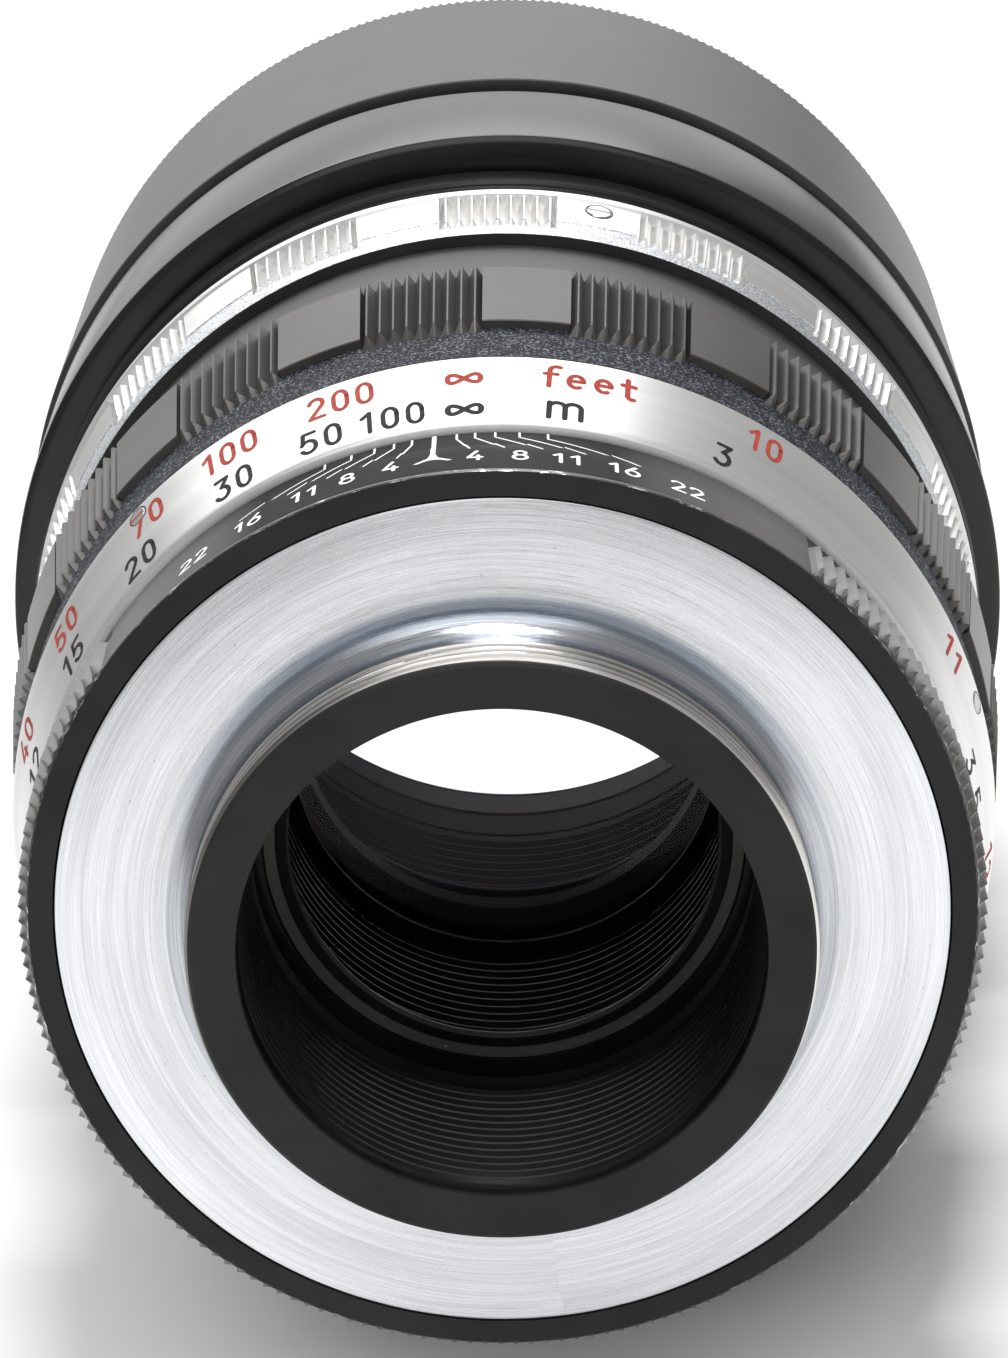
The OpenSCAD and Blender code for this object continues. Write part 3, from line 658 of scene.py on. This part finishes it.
# ---------------------------------------------------------------- focus ring

PADS = 15
RIBBED = 0.58
RISE = 0.44             # share of a rib's pitch taken by each of its flanks


def pad_thetas(start, ribs):
    """Clock angles at every rib tip and root, and a few across each plain pad."""
    pitch = TAU / PADS
    marks = [(i + m) / ribs * RIBBED for i in range(ribs) for m in (0, RISE, 1 - RISE)] + [RIBBED]
    marks += list(RIBBED + (1 - RIBBED) * np.linspace(0.004, 0.996, 9))
    return np.array([start + (p + m) * pitch for p in range(PADS) for m in marks])


def pad_pattern(theta, start, ribs):
    """1 on plain pads and rib tips, 0 in the roots; also a mask of the ribbed pads."""
    turn = ((theta - start) / (TAU / PADS)) % 1.0
    ribbed = turn < RIBBED + 1e-6
    rib = turn / RIBBED * ribs
    part = (rib + 1e-9) % 1.0
    tip = np.clip(np.minimum(part, 1 - part) / RISE, 0, 1)
    return np.where(ribbed, tip, 1.0), ribbed


def distance_ring():
    profile = [(31.45, 14.62), (32.2, 14.6), (32.36, 14.68), (32.46, 14.82)]
    profile += [(scale_radius(z), z) for z in np.linspace(15.2, 21.9, 6)]
    profile += [(34.66, 22.12), (34.5, 22.2), (33.3, 22.2), (33.3, 20.2), (31.8, 20.2), (31.8, 17.8),
                (31.45, 17.8)]
    turned("distance_ring_turned", profile, [SILVER, BLACK], "focus_ring",
           ["distance_scale_ring"], bands=[0] * len(profile))


def focus_grip():
    start = math.radians(-1.3) - RIBBED / 2 * TAU / PADS
    ribs = 9
    pad_rear, pad_front, depth = 29.0, 39.0, 0.75
    run_out = 28.0

    def pad_r(z):
        return 35.3 + (z - pad_rear) / (pad_front - pad_rear) * 1.1

    def shape(theta, r, z):
        level, ribbed = pad_pattern(theta, start, ribs)
        if r < 34.6 or z < run_out or z > pad_front + 0.01:
            return np.full(len(theta), float(r))
        if z < pad_rear:
            ridge = pad_r(pad_rear) + 0.1 - depth * (1 - level)
            grow = (z - run_out) / (pad_rear - run_out)
            return np.where(ribbed, r + (ridge - r) * grow, r)
        return r - np.where(ribbed, depth * (1 - level) - 0.1, 0.0)

    def pick(theta, band):
        ribbed = ((theta - start) / (TAU / PADS) + 1e-6) % 1.0 < RIBBED - 1e-3
        return (1 if ribbed else 2) if band == 3 else band

    profile = [(31.8, 22.4), (34.1, 22.4), (34.2, 22.5), (34.2, 23.0), (34.45, 23.05),
               (34.69, 28.0), (34.72, 28.98)]
    bands = [0, 0, 0, 0, 2, 3, 1]
    rear = [(pad_r(pad_rear) - 0.06, pad_rear), (pad_r(pad_rear + 0.12), pad_rear + 0.12)]
    steps = np.linspace(pad_rear + 1.5, pad_front - 0.2, 6)
    body = [(pad_r(z), z) for z in steps]
    front = [(pad_r(pad_front) - 0.12, pad_front)]
    profile += rear + body + front
    bands += [1] * (len(rear) + len(body)) + [0]
    profile += [(34.4, 39.05), (33.75, 39.05), (33.75, 24.1), (31.8, 24.1)]
    bands += [0] * 4
    turned("focus_grip_ribbed", profile, [BLACK, PAD_GREY, BLACK_GRAIN], "focus_ring",
           ["focus_grip"], shape=shape, bands=bands, pick=pick,
           thetas=pad_thetas(start, ribs), sharp=18)


def slotted_screws(name, radius, r0, r1, clocks, z, slot_w, body, node, slope):
    """Slotted screw heads, each ringed by a thin black band that stands in for the shade in its socket;
    slope is the rise of the cone they sit in.
    """
    bm = bmesh.new()
    for clock in clocks:
        a = math.radians(clock)
        out = Vector((math.sin(a), 0, math.cos(a)))
        along = Vector((0, 1, 0))
        side = out.cross(along)
        centre = Vector((0, (z - ORIGIN) * MM, 0))
        rings = [(r0, radius), (r1 - 0.08, radius), (r1, radius - 0.08)]
        loops = []
        for rr, rad in rings:
            loops.append([bm.verts.new(centre + out * (rr + slope * rad * math.sin(t)) * MM
                                       + (along * math.sin(t) + side * math.cos(t)) * rad * MM)
                          for t in np.linspace(0, TAU, 32, endpoint=False)])
        for low, high in zip(loops, loops[1:]):
            for i in range(32):
                j = (i + 1) % 32
                bm.faces.new((low[i], low[j], high[j], high[i]))
        top = loops[-1]
        cut = []
        for side_sign in (1, -1):
            ring = [v for v in top
                    if side_sign * (v.co - centre).dot(along) > slot_w * MM / 2 - 1e-9]
            ring.sort(key=lambda v: math.atan2(side_sign * (v.co - centre).dot(along),
                                               (v.co - centre).dot(side)))
            bm.faces.new(ring)
            cut.append((ring[0], ring[-1]))
        deep = 0.35 * MM
        for ends in cut:
            lows = [bm.verts.new(v.co - out * deep) for v in ends]
            bm.faces.new((ends[0], ends[1], lows[1], lows[0]))
        floor = [bm.verts.new(v.co - out * deep) for pair in cut for v in pair]
        bm.faces.new((floor[0], floor[1], floor[3], floor[2]) if
                     (floor[1].co - floor[3].co).length < (floor[1].co - floor[2].co).length
                     else (floor[0], floor[1], floor[2], floor[3]))
        bm.faces.new(loops[0])
        # A thin black band round each head: painted shadow in place of the shaded gap of the socket.
        shadow_rims = [[bm.verts.new(centre + out * (rr + slope * rad * math.sin(t)) * MM
                              + (along * math.sin(t) + side * math.cos(t)) * rad * MM)
                 for t in np.linspace(0, TAU, 32, endpoint=False)]
                for rr, rad in ((r1 - 0.2, radius + 0.02), (r1 - 0.03, radius + 0.02),
                                (r1 - 0.03, radius + 0.12), (r1 - 0.2, radius + 0.12))]
        for low, high in zip(shadow_rims, shadow_rims[1:] + shadow_rims[:1]):
            for i in range(32):
                j = (i + 1) % 32
                bm.faces.new((low[i], low[j], high[j], high[i])).material_index = 1
    bmesh.ops.recalc_face_normals(bm, faces=bm.faces)
    mesh = bpy.data.meshes.new(name)
    bm.to_mesh(mesh)
    bm.free()
    mesh.materials.append(STEEL)
    # The second material paints the shadow band round each head.
    mesh.materials.append(BLACK_FACE)
    mesh.shade_smooth()
    mesh.set_sharp_from_angle(angle=math.radians(30))
    obj = bpy.data.objects.new(name, mesh)
    bpy.context.scene.collection.objects.link(obj)
    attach(obj, body)
    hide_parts(node)
    return obj


# ---------------------------------------------------------------- lens barrel

def plain_barrels():
    turned("ring_spacer_turned",
           [(33.0, 59.2), (35.1, 59.2), (35.2, 59.3), (35.2, 59.55), (35.1, 59.65), (33.0, 59.65)],
           [BLACK_GLOSS], "lens_barrel", ["ring_spacer"])
    turned("front_barrel_turned",
           [(33.01, 65.72), (36.2, 65.7), (38.6, 65.75), (39.05, 65.85), (39.28, 66.05), (39.35, 66.35),
            (39.35, 80.45), (39.2, 80.68), (38.7, 80.72), (38.68, 86.0), (37.3, 86.0), (37.3, 68.7),
            (33.01, 68.7)],
           [BLACK, BLACK_GLOSS], "lens_barrel", ["front_barrel"],
           bands=[1] * 6 + [0, 1, 1] + [0] * 4)


def front_tube():
    teeth = 340
    rim = 113.7

    def shape(theta, r, z):
        if z > rim - 0.9 and r > 39.3:
            saw = np.abs(2 * ((theta * teeth / TAU) % 1.0) - 1)
            return r - saw * 0.22
        return np.full(len(theta), float(r))

    profile = [(38.72, 82.75), (39.5, 82.75), (39.72, 82.82), (39.8, 83.0), (39.8, 97.0),
               (39.8, 112.7), (39.8, 112.95), (39.8, 113.45), (39.55, 113.7), (38.5, 113.7)]
    profile += [(r, z) for r, z in grooves(38.1, 0.3, 0.75, 113.3, 108.9, 0.1)]
    profile += [(38.1, 108.45), (37.4, 108.45), (37.4, 88.0), (38.72, 88.0)]
    turned("front_tube_turned", profile, [BLACK], "lens_barrel", ["front_tube"],
           shape=shape, thetas=knurl_thetas(teeth), sharp=20)


def inner_parts():
    bore = [(17.4, 20.0), (18.6, 20.0), (18.6, 37.5), (17.2, 37.5)]
    bore += grooves(16.6, 0.42, 1.25, 36.9, 21.7)
    bore += [(16.6, 21.4), (15.3, 20.9), (15.15, 20.7), (15.15, 20.3), (15.3, 20.05), (16.0, 20.05),
             (16.1, 20.2), (16.9, 20.2), (17.05, 20.0)]
    bands = [1, 1, 0, 0] + [0] * (len(bore) - 8) + [1, 1, 1, 1]
    # The lip's inner face, its chamfer and one step take the lighter, shinier knurl material: painted
    # light rings together with real glints.
    bands[-7] = bands[-6] = bands[-3] = 2
    turned("inner_baffle_turned", bore, [BLACK_BORE, BLACK_GLOSS, KNURL], "lens_barrel",
           ["inner_baffle_tube"], seg=240, bands=bands)
    turned("rear_retaining_turned",
           [(15.75, 37.6), (16.98, 37.6), (16.98, 39.2), (16.3, 39.2), (15.75, 38.0)],
           [BLACK_VOID], "lens_barrel", ["rear_retaining_ring"], seg=240)
    turned("rear_cell_turned",
           [(15.9, 46.6), (17.0, 46.6), (17.0, 37.55), (19.4, 37.55), (19.4, 45.4), (27.39, 45.4),
            (27.39, 48.4), (15.9, 48.4)],
           [BLACK_VOID], "lens_barrel", ["rear_cell"], seg=240)
    tube = [(26.2, 57.94), (31.48, 57.94), (31.48, 68.5), (30.0, 68.5), (30.0, 84.0), (26.2, 84.0)]
    tube += grooves(26.2, 0.5, 1.6, 83.0, 59.0)
    turned("centre_tube_turned", tube, [BLACK_VOID], "lens_barrel", ["centre_tube"],
           seg=240)
    turned("front_cell_turned",
           [(26.0, 84.05), (29.6, 84.05), (29.6, 99.5), (37.38, 99.5), (37.38, 102.0), (30.4, 102.0),
            (30.4, 106.3), (30.2, 106.4), (27.7, 106.4), (27.7, 88.2), (26.0, 88.2)],
           [BLACK_VOID], "lens_barrel", ["front_cell"], seg=240)
    turned("front_retaining_turned",
           [(26.9, 101.2), (27.68, 101.2), (27.68, 103.4), (27.3, 103.4), (26.9, 102.9)],
           [BLACK_VOID], "lens_barrel", ["front_retaining_ring"], seg=240)
    turned("front_spacer_turned",
           [(26.4, 90.6), (27.68, 90.6), (27.68, 96.5), (26.4, 96.5)],
           [BLACK_VOID], "lens_barrel", ["front_spacer"], seg=240)
    turned("name_ring_blank",
           [(28.6, 106.5), (37.38, 106.5), (37.38, 108.35), (37.0, 108.4), (36.8, 108.33),
            (29.2, 107.62), (29.0, 107.6), (28.8, 107.4)],
           [BLACK], "lens_barrel", ["name_ring"], seg=240)
    turned("iris_cover_turned",
           [(19.1, 56.74), (31.48, 56.74), (31.48, 57.84), (19.5, 57.84), (19.1, 57.3)],
           [BLACK_VOID], "lens_barrel", ["iris_cover"], seg=240)


def sag(radius, x):
    """Depth of a sphere's surface at x; negative radii are hollow."""
    r = abs(radius)
    s = r - math.sqrt(r * r - x * x)
    return s if radius > 0 else -s


def element(node, edge, z0, z1, rear, front):
    """One glass element with true spherical faces and a small ground edge."""
    steps = 28
    xs = [edge * i / steps for i in range(1, steps + 1)]
    profile = [(0.0005, z0)] + [(x, z0 + sag(rear, x)) for x in xs]
    profile += [(x, z1 - sag(front, x)) for x in reversed(xs)] + [(0.0005, z1)]
    bands = [0] * len(profile)
    bands[steps] = 1
    turned(node + "_glass", profile, [GLASS, GLASS_EDGE], "lens_barrel", [node],
           bands=bands, seg=160, sharp=40)


def all_glass():
    """Five elements, shaped to give the light crescent seen from behind, not by an optical design."""
    element("rear_element", 16.9, 40.0, 42.9, -248, 117)
    element("rear_inner_element", 16.9, 43.75, 47.0, -83, 215)
    element("third_element", 27.6, 88.6, 92.2, 604, 206)
    element("second_element", 27.6, 94.5, 97.9, 166, -842)
    element("front_element", 27.6, 99.3, 104.7, -1183, 101)


# ---------------------------------------------------------------- aperture and preset rings

def aperture_ring():
    start = math.radians(7.2) - RIBBED / 2 * TAU / PADS
    ribs = 9
    pad_front, depth = 57.7, 0.7

    def shape(theta, r, z):
        level, ribbed = pad_pattern(theta, start, ribs)
        if r < 35.85 or not (53.9 <= z <= pad_front + 0.01):
            return np.full(len(theta), float(r))
        return r - depth * (1 - level)

    def pad_r(z):
        return 35.95 + (z - 53.95) / (pad_front - 53.95) * 0.75

    profile = [(33.08, 51.62), (35.0, 51.6), (35.4, 51.62), (35.47, 51.75), (35.7, 52.7),
               (35.86, 53.9)]
    bands = [2, 2, 1, 1, 1, 1]
    pads = [(pad_r(z), z) for z in np.linspace(53.95, pad_front, 5)]
    profile += pads
    bands += [0] * len(pads)
    profile += [(36.85, pad_front + 0.05), (36.9, pad_front + 0.15), (36.9, 58.8), (36.75, 58.95),
                (36.5, 59.0), (33.08, 59.0)]
    bands += [0] * 6
    turned("aperture_ring_ribbed", profile, [SILVER, SILVER_GRAIN, BLACK], "aperture_ring",
           ["aperture_ring"], shape=shape, bands=bands,
           thetas=pad_thetas(start, ribs), sharp=18)


def preset_ring():
    turned("preset_ring_turned",
           [(33.08, 60.0), (36.5, 59.95), (37.0, 60.05), (37.2, 60.35), (37.2, 63.2), (37.0, 63.6),
            (36.4, 64.1), (33.08, 64.1)],
           [BLACK_GLOSS], "preset_ring", ["preset_ring"])


# ---------------------------------------------------------------- build everything

mount_flange()
rear_baffle()
depth_ring()
depth_figures()
distance_ring()
distance_figures()
focus_grip()
plain_barrels()
front_tube()
inner_parts()
all_glass()
aperture_ring()
preset_ring()
slotted_screws("scale_ring_screws", 0.7, 33.25, 34.43, [81.4, 201.4, 321.4], 21.2, 0.24,
               "focus_ring", "scale_ring_set_screws", 0.303)
slotted_screws("aperture_screws", 0.95, 34.4, 36.5, [19.2, 139.2, 259.2], 56.4, 0.3,
               "aperture_ring", "aperture_ring_screws", 0.2)

SLOT_MATERIAL = {
    "bare_aluminium": ALU, "satin_silver": SILVER, "black_anodised": BLACK,
    "matt_black": BLACK_DEEP, "steel": STEEL, "blade_steel": BLADE, "brass": BRASS,
    "optical_glass": GLASS,
}
for sub in frame["record"]["subparts"]:
    obj = frame["nodes"][sub["node"]]
    for slot in obj.material_slots:
        slot.material = SLOT_MATERIAL[sub["material_slot"]]


# ---------------------------------------------------------------- floor, lights and camera

def studio_floor(height):
    size = 1.6
    n = Nodes("studio_paper")
    cloud = n.noise(n.position(), 0.004, 3.0, 0.5)
    n.to_color(n.mix(cloud, (0.86, 0.86, 0.86), (0.9, 0.9, 0.9)))
    n.set(Roughness=0.7, Specular_IOR_Level=0.2)
    verts = [(-size, -size, height), (size, -size, height), (size, size, height),
             (-size, size, height)]
    mesh = bpy.data.meshes.new("studio_floor")
    mesh.from_pydata(verts, [], [(0, 1, 2, 3)])
    mesh.materials.append(n.mat)
    floor = bpy.data.objects.new("studio_floor", mesh)
    bpy.context.scene.collection.objects.link(floor)


def soft_light(name, at, target, size, power, color=(1, 1, 1), size_y=None):
    data = bpy.data.lights.new(name, "AREA")
    data.shape = "RECTANGLE"
    data.size = size
    data.size_y = size_y or size
    data.energy = power
    data.color = color
    lamp = bpy.data.objects.new(name, data)
    lamp.location = at
    lamp.rotation_euler = (Vector(target) - Vector(at)).to_track_quat("-Z", "Y").to_euler()
    bpy.context.scene.collection.objects.link(lamp)


def studio_world(strength):
    world = bpy.data.worlds.new("studio")
    world.use_nodes = True
    back = world.node_tree.nodes["Background"]
    back.inputs["Color"].default_value = (1.0, 1.0, 1.0, 1)
    back.inputs["Strength"].default_value = strength
    bpy.context.scene.world = world


def photo_camera():
    """The camera looks down on the back of the lens, from 267 mm behind the stub."""
    roll = math.radians(8.79)       # the lens lies with its index mark this far to the left
    cos, sin = math.cos(roll), math.sin(roll)

    def turn(v):
        x, y, z = v
        return Vector((x * cos + z * sin, y, -x * sin + z * cos))

    eye = turn((0.0006, -0.26675 - ORIGIN * MM, 0.1207))
    look = turn((0.0, 0.9351, -0.3544))
    up = turn((-0.01117, 0.3544, 0.93504))
    right = look.cross(up).normalized()
    up = right.cross(look).normalized()
    data = bpy.data.cameras.new("camera")
    data.sensor_width = 36.0
    data.lens = 117.4772
    data.shift_x, data.shift_y = -0.007437, 0.000884
    data.clip_start, data.clip_end = 0.01, 20.0
    camera = bpy.data.objects.new("camera", data)
    m = Matrix((right, up, -look)).transposed().to_4x4()
    m.translation = eye
    camera.matrix_world = m
    bpy.context.scene.collection.objects.link(camera)
    bpy.context.scene.camera = camera


photo_camera()
studio_floor(-0.0399)
studio_world(0.42)
soft_light("far_softbox", (-0.15, 0.85, 0.8), (0, 0.25, 0), 1.3, 6.5, size_y=0.8)
soft_light("far_panel", (-0.2, 1.35, 0.6), (0, 0.0, 0.2), 1.6, 5.0, size_y=1.2)
soft_light("near_fill", (0.0, -0.9, 0.9), (0, 0, 0), 0.9, 4.4)
soft_light("key_light", (0.1, -0.03, 0.7), (0, 0.0, 0), 0.085, 3.2, size_y=0.16)
bpy.context.scene.view_settings.view_transform = "Standard"
